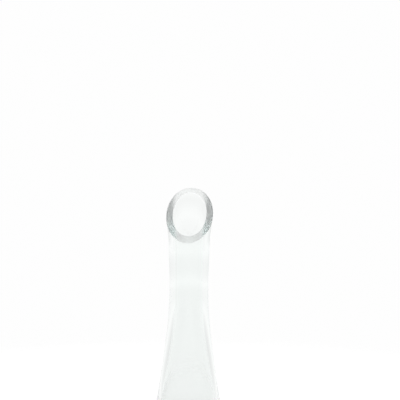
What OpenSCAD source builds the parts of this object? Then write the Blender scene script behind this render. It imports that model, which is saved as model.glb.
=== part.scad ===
// Slender glass bud vase with a slanted, flared mouth: one piece of blown glass.
// It stands on the ground ring of its foot, centred on the origin, with +Z up.
// The mouth's low side faces -Y and its high side +Y.

/* [Foot] */
// Outer radius of the flat ring that the vase stands on
foot_r = 22; // [20:0.5:24]
// Radius of the hollow ground into the underside, inside that ring
punt_r = 17; // [10:0.5:19]
// Depth of that hollow at its centre
punt_depth = 2.5; // [1:0.25:4]

/* [Body] */
// Radius of the body at its widest
belly_r = 28; // [26:0.5:32]
// Height at which the body is widest
belly_z = 12; // [8:0.5:18]
// Radius of the body at the throat, its narrowest
throat_r = 13.6; // [12.5:0.1:14]
// Height of the throat
throat_z = 150; // [140:1:155]

/* [Mouth] */
// Outer radius of the straight neck below the flare
neck_r = 14.3; // [14:0.1:16]
// Height at which the neck starts to flare
neck_z = 178; // [172:1:182]
// Outer radius that the flare has reached at its full height
lip_r = 19; // [18.6:0.1:24]
// Full height of the flare before the mouth is cut
lip_z = 222; // [221:1:226]
// How fast the flare widens there, in mm of radius for each mm of height
lip_slope = 0.05; // [0:0.05:0.3]
// Angle of the slanted cut from the horizontal
cut_angle = 46; // [35:1:48]
// Height at which the cut crosses the axis
cut_z = 199.6; // [192:0.1:200]

/* [Hollow] */
// Thickness of the solid glass under the hollow, at the axis
base_thick = 16; // [10:1:20]
// Height of the hollow's rounded bottom
bowl_h = 14; // [8:1:18]
// Radius of the hollow at the top of its rounded bottom
bowl_r = 23.4; // [18:0.2:24]
// Radius of the straight bore through the neck
bore_r = 9.8; // [8:0.1:10]
// Height at which the straight bore starts
bore_z = 146; // [138:1:150]
// Length of the straight bore
bore_len = 30; // [22:1:34]
// Radius of the hollow at the full height of the flare
mouth_r = 18.4; // [16:0.1:18.6]
// How fast the hollow widens there
mouth_slope = 0.45; // [0.3:0.05:0.6]

/* [Hidden] */
$fn = 120;
curve_steps = 24;        // short straight facets in each curved stretch of the outline
arc_steps = 12;          // facets in each quarter arc
cut_block = 120;         // side of the block that cuts the mouth, wider than the whole vase
bore_top = bore_z + bore_len;
bowl_top = base_thick + bowl_h;

// Hermite basis: a curve from 0 to 1, level at both ends, and the share of the end slope.
function ease(t) = t * t * (3 - 2 * t);
function end_pull(t) = t * t * (t - 1);

// [radius, height] points from [r0, z0] to [r1, z1]; level with the axis at the start,
// and widening by slope at the end. The first point is left to the stretch before it.
function stretch(r0, z0, r1, z1, slope = 0) = [
    for (i = [1 : curve_steps])
        let (t = i / curve_steps)
        [r0 + (r1 - r0) * ease(t) + (z1 - z0) * slope * end_pull(t), z0 + (z1 - z0) * t]
];

// Quarter of an ellipse about [r, z], from straight below it to straight beside it.
function quarter(r, z, a, b) = [
    for (i = [0 : arc_steps]) let (q = 90 * i / arc_steps) [r + a * sin(q), z - b * cos(q)]
];

// Outside of the glass, from the foot ring's edge up to the uncut lip.
outside = concat(
    quarter(foot_r, belly_z, belly_r - foot_r, belly_z),
    stretch(belly_r, belly_z, throat_r, throat_z),
    stretch(throat_r, throat_z, neck_r, neck_z),
    stretch(neck_r, neck_z, lip_r, lip_z, lip_slope)
);

// Inside of the glass, from the bottom of the hollow up to the uncut lip.
inside = concat(
    quarter(0, bowl_top, bowl_r, bowl_h),
    stretch(bowl_r, bowl_top, bore_r, bore_z),
    [[bore_r, bore_top]],
    stretch(bore_r, bore_top, mouth_r, lip_z, mouth_slope)
);

// Shallow dome hollowed into the underside, from its rim to the axis.
punt = [
    for (i = [0 : arc_steps])
        let (r = punt_r * (1 - i / arc_steps))
        [r, punt_depth * (1 - pow(r / punt_r, 2))]
];

function reversed(points) = [for (i = [len(points) - 1 : -1 : 0]) points[i]];

// The body of glass, turned as one closed outline, with its mouth cut off at a slant.
module vase()
    color("honeydew", 0.45)
    difference() {
        rotate_extrude()
            polygon(concat(outside, reversed(inside), reversed(punt)));
        translate([0, 0, cut_z])
            rotate([cut_angle, 0, 0])
            translate([-cut_block / 2, -cut_block / 2, 0])
            cube(cut_block);
    }

vase();
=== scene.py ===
"""Looks of the glass bud vase: one piece of clear glass on a pale floor, in soft studio light."""

import math

import bmesh
import bpy
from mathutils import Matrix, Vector


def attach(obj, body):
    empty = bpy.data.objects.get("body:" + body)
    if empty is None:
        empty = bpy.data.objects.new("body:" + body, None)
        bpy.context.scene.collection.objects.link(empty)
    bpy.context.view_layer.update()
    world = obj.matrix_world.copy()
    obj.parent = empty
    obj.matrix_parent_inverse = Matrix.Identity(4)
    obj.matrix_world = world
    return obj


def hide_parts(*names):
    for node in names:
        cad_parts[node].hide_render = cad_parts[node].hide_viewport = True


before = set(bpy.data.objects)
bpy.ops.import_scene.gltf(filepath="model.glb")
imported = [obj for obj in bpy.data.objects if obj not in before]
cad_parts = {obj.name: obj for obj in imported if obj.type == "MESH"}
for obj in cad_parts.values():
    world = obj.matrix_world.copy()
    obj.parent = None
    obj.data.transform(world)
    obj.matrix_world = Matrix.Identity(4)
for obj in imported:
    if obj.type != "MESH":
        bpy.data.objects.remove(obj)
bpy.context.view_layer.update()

MM = 0.001

# The vase's sizes, as the CAD model has them.
FOOT_R = 22 * MM
PUNT_R, PUNT_DEPTH = 17 * MM, 2.5 * MM
BELLY_R, BELLY_Z = 28 * MM, 12 * MM
THROAT_R, THROAT_Z = 13.6 * MM, 150 * MM
NECK_R, NECK_Z = 14.3 * MM, 178 * MM
LIP_R, LIP_Z, LIP_SLOPE = 19 * MM, 222 * MM, 0.05
CUT_Z, CUT_ANGLE = 199.6 * MM, math.radians(46)
BASE_THICK = 16 * MM
BOWL_R, BOWL_H = 23.4 * MM, 14 * MM
BORE_R, BORE_Z, BORE_LEN = 9.8 * MM, 146 * MM, 30 * MM
MOUTH_R, MOUTH_SLOPE = 18.4 * MM, 0.45
BOWL_TOP = BASE_THICK + BOWL_H
BORE_TOP = BORE_Z + BORE_LEN
CUT_RISE = math.tan(CUT_ANGLE)

# Softened edges, which the CAD model leaves out.
EDGE_ROUND = 0.7 * MM     # how far the polished rounding of the rim's two edges reaches
PUNT_ROUND = 0.35 * MM    # the same at the edge of the hollow ground into the foot

# How many steps the glass's mesh has.
SEGMENTS = 256            # round the axis
RING_STEPS = 4            # the foot's flat ring, and the softened edge beside it
CURVE_STEPS = 24          # the hollow in the foot, the heel, and the flare
BODY_STEPS = 60           # from the heel to the flare, and from the mouth's hollow to the bowl
ROUND_STEPS = 8           # each rounded edge of the rim
FACE_STEPS = 6            # the cut face between them
HOLLOW_STEPS = 32         # the mouth's hollow, and the bowl at the bottom

HALVINGS = 40             # of the range of heights in which a wall's edge on the cut is sought

# Glass.
GLASS_IOR = 1.52
GLASS_COLOUR = (0.985, 1.0, 0.992, 1)
TINT = (0.4, 0.75, 0.72, 1)
TINT_DENSITY = 1.5        # how fast that tint deepens with the thickness of the glass
RIM_ROUGH = 0.7           # roughness of the satin-ground face of the rim
RIM_FROM, RIM_FULL = 0.35 * MM, 0.05 * MM      # depths under the cut where it sets in and is full
FOOT_ROUGH = 0.45         # roughness of the flat ring that the vase stands on, ground and then worn
FOOT_FULL, FOOT_END = 0.02 * MM, 0.12 * MM     # heights up to which it is full, and where it ends
BOUNCES = 64              # enough for light that goes through many walls, or along inside one

# Surroundings.
NEAR_WHITE = 0.99         # the backdrop, as the camera sees it
BRIGHTEST = 2.0           # the brightest part of the light around
# How bright it is at so many degrees above the horizon: on the side of the mouth's high side, a
# white sweep; on its low side, a dark room under a broad soft light.
SWEEP = (
    (-90, 0.9), (-26, 0.99), (-18, 0.99), (-15, 0.97), (-13, 0.93), (-11.5, 0.95), (-9.5, 1.0),
    (-6, 0.88), (-2, 0.78), (3, 0.85), (90, 0.85),
)
ROOM = (
    (-90, 0.9), (-30, 0.9), (-25, 0.1), (-10, 0.03), (-4, 0.03), (2, 0.1), (10, 0.4), (16, 1.7),
    (50, BRIGHTEST), (60, 1.2), (90, 0.9),
)
TURN_OVER = 0.35          # sine of the angle either side of the middle in which one becomes the other
CLEAR = 0.8               # share of the sweep that smooth glass shows everywhere, to stay clear

# Floor, in metres.
FLOOR_R = 0.5
FLOOR_SIDES = 128         # of the polygon that stands for its round
FADE_R = 0.6 * FLOOR_R    # where it starts to fade into the backdrop
FLOOR_ROUGH = 0.9
FLOOR_WHITE = 0.52        # the share of light that it returns
FLOOR_GLOW = 0.32         # light of its own
FLOOR_LIFT = 0.22         # added to that glow where the camera sees it directly
FLOOR_SHADE = 0.3         # the share of all this that is left right beside the foot
SHADE_R = 0.31            # where that shade ends
SHADE_SEEN = 0.5          # how much of it the camera and smooth glass see
SIDE_FROM, SIDE_TO = 0.08, 0.25     # how far to either side it darkens again, for smooth glass only,
SIDE_SHADE = 0.7          # to this share


def ease(t):
    """From 0 to 1, level at both ends."""
    return t * t * (3 - 2 * t)


def stretch(z, r0, z0, r1, z1, slope=0.0):
    """Radius at height z on a curve that leaves r0 along the axis and reaches r1 widening by slope."""
    t = (z - z0) / (z1 - z0)
    return r0 + (r1 - r0) * ease(t) + (z1 - z0) * slope * t * t * (t - 1)


def outer_r(z):
    """Radius of the outside of the glass at height z above the heel."""
    if z < THROAT_Z:
        return stretch(z, BELLY_R, BELLY_Z, THROAT_R, THROAT_Z)
    if z < NECK_Z:
        return stretch(z, THROAT_R, THROAT_Z, NECK_R, NECK_Z)
    return stretch(z, NECK_R, NECK_Z, LIP_R, LIP_Z, LIP_SLOPE)


def inner_r(z):
    """Radius of the hollow at height z above the bowl."""
    if z < BORE_Z:
        return stretch(z, BOWL_R, BOWL_TOP, BORE_R, BORE_Z)
    if z < BORE_TOP:
        return BORE_R
    return stretch(z, BORE_R, BORE_TOP, MOUTH_R, LIP_Z, MOUTH_SLOPE)


def on_cut(r, turn):
    """Height of the slanted cut at radius r in the direction turn."""
    return CUT_Z + CUT_RISE * r * math.sin(turn)


def edge_z(radius_at, turn):
    """Height at which a wall meets the slanted cut in the direction turn."""
    low, high = CUT_Z - CUT_RISE * LIP_R, CUT_Z + CUT_RISE * LIP_R
    for _ in range(HALVINGS):
        mid = (low + high) / 2
        if mid < on_cut(radius_at(mid), turn):
            low = mid
        else:
            high = mid
    return (low + high) / 2


def rim_corner(radius_at, turn, face_side):
    """The rounding of one edge of the rim: its start on the wall, the sharp corner that it takes the
    place of, and its end on the cut face, which is on that corner's face_side: -1 inside, 1 outside."""
    z = edge_z(radius_at, turn)
    corner = Vector((radius_at(z), z))
    below = Vector((radius_at(z - EDGE_ROUND), z - EDGE_ROUND))
    slope = math.atan(CUT_RISE * math.sin(turn))
    face_r = corner.x + face_side * EDGE_ROUND * math.cos(slope)
    return below, corner, Vector((face_r, on_cut(face_r, turn)))


def shares(count):
    """Equal shares of the way along a stretch, up to 1."""
    return [i / count for i in range(1, count + 1)]


# From here to rim(), each function gives (radius, height) points along one stretch of the outline,
# in its order and without the point that the stretch starts from.

def bend(a, b, c, count):
    """A curve from a to c that rounds off the corner b."""
    return [a * (1 - t) ** 2 + b * 2 * t * (1 - t) + c * t * t for t in shares(count)]


def wall(radius_at, z0, z1, count):
    """A wall from height z0 to height z1."""
    return [Vector((radius_at(z), z)) for z in (z0 + (z1 - z0) * t for t in shares(count))]


def underside():
    """The hollow ground into the foot, its softened edge and the flat ring round it."""
    near, far = PUNT_R - PUNT_ROUND, PUNT_R + PUNT_ROUND
    hollow = [
        Vector((r, PUNT_DEPTH * (1 - (r / PUNT_R) ** 2)))
        for r in (near * t for t in shares(CURVE_STEPS))
    ]
    edge = bend(hollow[-1], Vector((PUNT_R, 0)), Vector((far, 0)), RING_STEPS)
    ring = [Vector((far + (FOOT_R - far) * t, 0)) for t in shares(RING_STEPS)]
    return hollow + edge + ring


def heel():
    """The rounded heel, in equal turns of its quarter ellipse."""
    return [
        Vector((FOOT_R + (BELLY_R - FOOT_R) * math.sin(q), BELLY_Z * (1 - math.cos(q))))
        for q in (math.pi / 2 * t for t in shares(CURVE_STEPS))
    ]


def bowl():
    """The rounded bottom of the hollow, downwards, without its lowest point."""
    return [
        Vector((BOWL_R * math.cos(q), BOWL_TOP - BOWL_H * math.sin(q)))
        for q in (math.pi / 2 * t for t in shares(HOLLOW_STEPS)[:-1])
    ]


def rim(turn):
    """The flare, the cut face between its two rounded edges, and the mouth's hollow, in the
    direction turn. The points of flare and hollow are spread evenly up to wherever the cut is."""
    outside, outer_corner, outer_face = rim_corner(outer_r, turn, -1)
    inside, inner_corner, inner_face = rim_corner(inner_r, turn, 1)
    return (
        wall(outer_r, NECK_Z, outside.y, CURVE_STEPS)
        + bend(outside, outer_corner, outer_face, ROUND_STEPS)
        + [outer_face.lerp(inner_face, t) for t in shares(FACE_STEPS)]
        + bend(inner_face, inner_corner, inside, ROUND_STEPS)
        + wall(inner_r, inside.y, BORE_TOP, HOLLOW_STEPS)
    )


def lathe(name):
    """A closed mesh of the glass, one column of points for each direction round the axis."""
    up_to_neck = underside() + heel() + wall(outer_r, BELLY_Z, NECK_Z, BODY_STEPS)
    down_to_bottom = wall(inner_r, BORE_TOP, BOWL_TOP, BODY_STEPS) + bowl()
    mesh = bmesh.new()
    columns = []
    for k in range(SEGMENTS):
        turn = 2 * math.pi * k / SEGMENTS
        x, y = math.cos(turn), math.sin(turn)
        outline = up_to_neck + rim(turn) + down_to_bottom
        columns.append([mesh.verts.new((p.x * x, p.x * y, p.y)) for p in outline])
    under = mesh.verts.new((0, 0, PUNT_DEPTH))
    bottom = mesh.verts.new((0, 0, BASE_THICK))
    for here, there in zip(columns, columns[1:] + columns[:1]):
        mesh.faces.new((under, there[0], here[0]))
        for corners in zip(here, there, there[1:], here[1:]):
            mesh.faces.new(corners)
        mesh.faces.new((here[-1], there[-1], bottom))
    bmesh.ops.recalc_face_normals(mesh, faces=mesh.faces)
    data = bpy.data.meshes.new(name)
    mesh.to_mesh(data)
    mesh.free()
    for face in data.polygons:
        face.use_smooth = True
    piece = bpy.data.objects.new(name, data)
    bpy.context.scene.collection.objects.link(piece)
    return piece


def feed(socket, value):
    """Link a socket to another node's output, or set it to a number, colour or vector."""
    if isinstance(value, bpy.types.NodeSocket):
        socket.id_data.links.new(value, socket)
    else:
        socket.default_value = value


def add_node(tree, kind, inputs, **settings):
    """A new node with these settings, and with its inputs fed by their names or numbers."""
    node = tree.nodes.new(kind)
    for name, value in settings.items():
        setattr(node, name, value)
    for key, value in inputs.items():
        feed(node.inputs[key], value)
    return node


def calculate(tree, operation, *values):
    """The number that a Math node makes of these values."""
    return add_node(tree, "ShaderNodeMath", dict(enumerate(values)), operation=operation).outputs[0]


def measure(tree, operation, *vectors):
    """The number that a Vector Math node makes of these vectors."""
    node = add_node(tree, "ShaderNodeVectorMath", dict(enumerate(vectors)), operation=operation)
    return node.outputs["Value"]


def change(tree, value, start, end, before=0.0, after=1.0, kind="SMOOTHSTEP"):
    """A level that goes from before to after while value goes from start to end."""
    ends = {"From Min": start, "From Max": end, "To Min": before, "To Max": after}
    node = add_node(tree, "ShaderNodeMapRange", {"Value": value, **ends}, interpolation_type=kind)
    return node.outputs[0]


def place_and_axes(tree, coordinates):
    """A place or direction in these coordinates, and the outputs for its X, Y and Z."""
    place = add_node(tree, "ShaderNodeTexCoord", {}).outputs[coordinates]
    return place, add_node(tree, "ShaderNodeSeparateXYZ", {0: place}).outputs


def grey(level):
    """A grey of this level as a colour."""
    return (level, level, level, 1)


def material(name):
    """A new material, its node tree and its shader."""
    new = bpy.data.materials.new(name)
    new.use_nodes = True
    return new, new.node_tree, new.node_tree.nodes["Principled BSDF"]


def glass():
    """Clear glass with a faint grey-green body, satin-ground on the rim's face and the foot ring."""
    clear_glass, tree, shader = material("clear_glass")
    shader.inputs["Base Color"].default_value = GLASS_COLOUR
    shader.inputs["IOR"].default_value = GLASS_IOR
    shader.inputs["Transmission Weight"].default_value = 1.0
    tint = add_node(tree, "ShaderNodeVolumeAbsorption", {"Color": TINT, "Density": TINT_DENSITY})
    feed(tree.nodes["Material Output"].inputs["Volume"], tint.outputs[0])

    # Smooth, apart from the rim's face just under the cut and the foot ring.
    place, axes = place_and_axes(tree, "Object")
    level = measure(tree, "DOT_PRODUCT", place, (0, -math.sin(CUT_ANGLE), math.cos(CUT_ANGLE)))
    cut_level = CUT_Z * math.cos(CUT_ANGLE)
    rim_face = change(tree, level, cut_level - RIM_FROM, cut_level - RIM_FULL, 0.0, RIM_ROUGH)
    foot_ring = change(tree, axes["Z"], FOOT_FULL, FOOT_END, FOOT_ROUGH, 0.0, kind="LINEAR")
    feed(shader.inputs["Roughness"], calculate(tree, "MAXIMUM", rim_face, foot_ring))
    return clear_glass


def floor():
    """A round of pale floor with a little painted shade about the foot, that fades into the backdrop.
    """
    bpy.ops.mesh.primitive_circle_add(vertices=FLOOR_SIDES, radius=FLOOR_R, fill_type="NGON")
    disc = bpy.context.object
    disc.name = "floor"
    pale, tree, shader = material("floor")
    shader.inputs["Roughness"].default_value = FLOOR_ROUGH
    shader.inputs["Specular IOR Level"].default_value = 0.0
    path = add_node(tree, "ShaderNodeLightPath", {}).outputs
    place, axes = place_and_axes(tree, "Object")
    reach = measure(tree, "LENGTH", place)

    # Painted shade about the foot: in full for the satin rim, and in part for the camera and smooth
    # glass.
    seen = calculate(tree, "MAXIMUM", path["Is Camera Ray"], path["Is Singular Ray"])
    unseen_part = (1 - FLOOR_SHADE) * (1 - SHADE_SEEN)
    darkest = calculate(tree, "MULTIPLY_ADD", seen, unseen_part, FLOOR_SHADE)
    shade = change(tree, reach, FOOT_R, SHADE_R, darkest, 1.0)

    # Painted shade far to either side, for smooth glass only.
    aside = calculate(tree, "ABSOLUTE", axes["X"])
    sides = change(tree, aside, SIDE_FROM, SIDE_TO, 1.0, SIDE_SHADE)
    dim = add_node(tree, "ShaderNodeMix", {"Factor": path["Is Singular Ray"], "A": 1.0, "B": sides})

    level = calculate(tree, "MULTIPLY", shade, dim.outputs[0])
    glow = calculate(tree, "MULTIPLY_ADD", path["Is Camera Ray"], FLOOR_LIFT, FLOOR_GLOW)
    feed(shader.inputs["Base Color"], calculate(tree, "MULTIPLY", level, FLOOR_WHITE))
    feed(shader.inputs["Emission Color"], level)
    feed(shader.inputs["Emission Strength"], glow)
    feed(shader.inputs["Alpha"], change(tree, reach, FADE_R, FLOOR_R, 1.0, 0.0))
    disc.data.materials.append(pale)


def ramp(tree, height, stops):
    """The brightness, as a share of the brightest, through (degrees above the horizon, level) stops.
    Height goes from 0 straight down to 1 straight up."""
    node = add_node(tree, "ShaderNodeValToRGB", {0: height})
    elements = node.color_ramp.elements
    elements.remove(elements[0])
    for i, (degrees, level) in enumerate(stops):
        position = (1 + math.sin(math.radians(degrees))) / 2
        element = elements[0] if i == 0 else elements.new(position)
        element.position = position
        element.color = grey(level / BRIGHTEST)
    return node.outputs[0]


def studio():
    """An even near-white backdrop for the camera, and around it a soft light that varies with
    direction. Smooth glass sees more of the sweep in place of the room than the satin rim does."""
    world = bpy.data.worlds.new("studio")
    bpy.context.scene.world = world
    world.use_nodes = True
    tree = world.node_tree
    tree.nodes.clear()
    path = add_node(tree, "ShaderNodeLightPath", {}).outputs
    _, axes = place_and_axes(tree, "Generated")
    height = change(tree, axes["Z"], -1.0, 1.0, kind="LINEAR")
    side = change(tree, axes["Y"], -TURN_OVER, TURN_OVER)
    through_glass = calculate(tree, "MULTIPLY", path["Is Singular Ray"], CLEAR)
    first, second, result = 6, 7, 2     # the Mix node's sockets for colours
    both = add_node(tree, "ShaderNodeMix", {
        "Factor": calculate(tree, "MAXIMUM", side, through_glass),
        first: ramp(tree, height, ROOM),
        second: ramp(tree, height, SWEEP),
    }, data_type="RGBA").outputs[result]
    light = add_node(tree, "ShaderNodeBackground", {"Color": both, "Strength": BRIGHTEST})
    backdrop = add_node(tree, "ShaderNodeBackground", {"Color": grey(NEAR_WHITE)})
    mix = add_node(tree, "ShaderNodeMixShader", {
        0: path["Is Camera Ray"], 1: light.outputs[0], 2: backdrop.outputs[0],
    })
    add_node(tree, "ShaderNodeOutputWorld", {"Surface": mix.outputs[0]})


def camera():
    """The photograph's view: from 8 degrees above, a little to the right of the mouth's low side."""
    elevation, azimuth, roll = math.radians(8), math.radians(4.6), math.radians(0.4)
    distance = 1.1
    width = 0.28              # seen across the frame at that distance
    aim_z = 212.8 * MM        # height of the point in the middle of the frame
    aside = 7.4 * MM          # how far it is to the right of the axis
    data = bpy.data.cameras.new("camera")
    data.lens = data.sensor_width * distance / width
    level = math.cos(elevation)
    back = Vector((math.sin(azimuth) * level, -math.cos(azimuth) * level, math.sin(elevation)))
    right = Vector((math.cos(azimuth), math.sin(azimuth), 0))
    eye = bpy.data.objects.new("camera", data)
    eye.location = Vector((0, 0, aim_z)) + right * aside + back * distance
    eye.rotation_euler = back.to_track_quat("Z", "Y").to_euler()
    eye.rotation_euler.rotate_axis("Z", roll)
    bpy.context.scene.collection.objects.link(eye)
    bpy.context.scene.camera = eye


camera()
studio()
floor()
vase = lathe("glass_vase")
vase.data.materials.append(glass())
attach(vase, "root")
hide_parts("vase")
bpy.context.scene.view_settings.view_transform = "Standard"
cycles = bpy.context.scene.cycles
cycles.max_bounces = cycles.transmission_bounces = cycles.glossy_bounces = BOUNCES
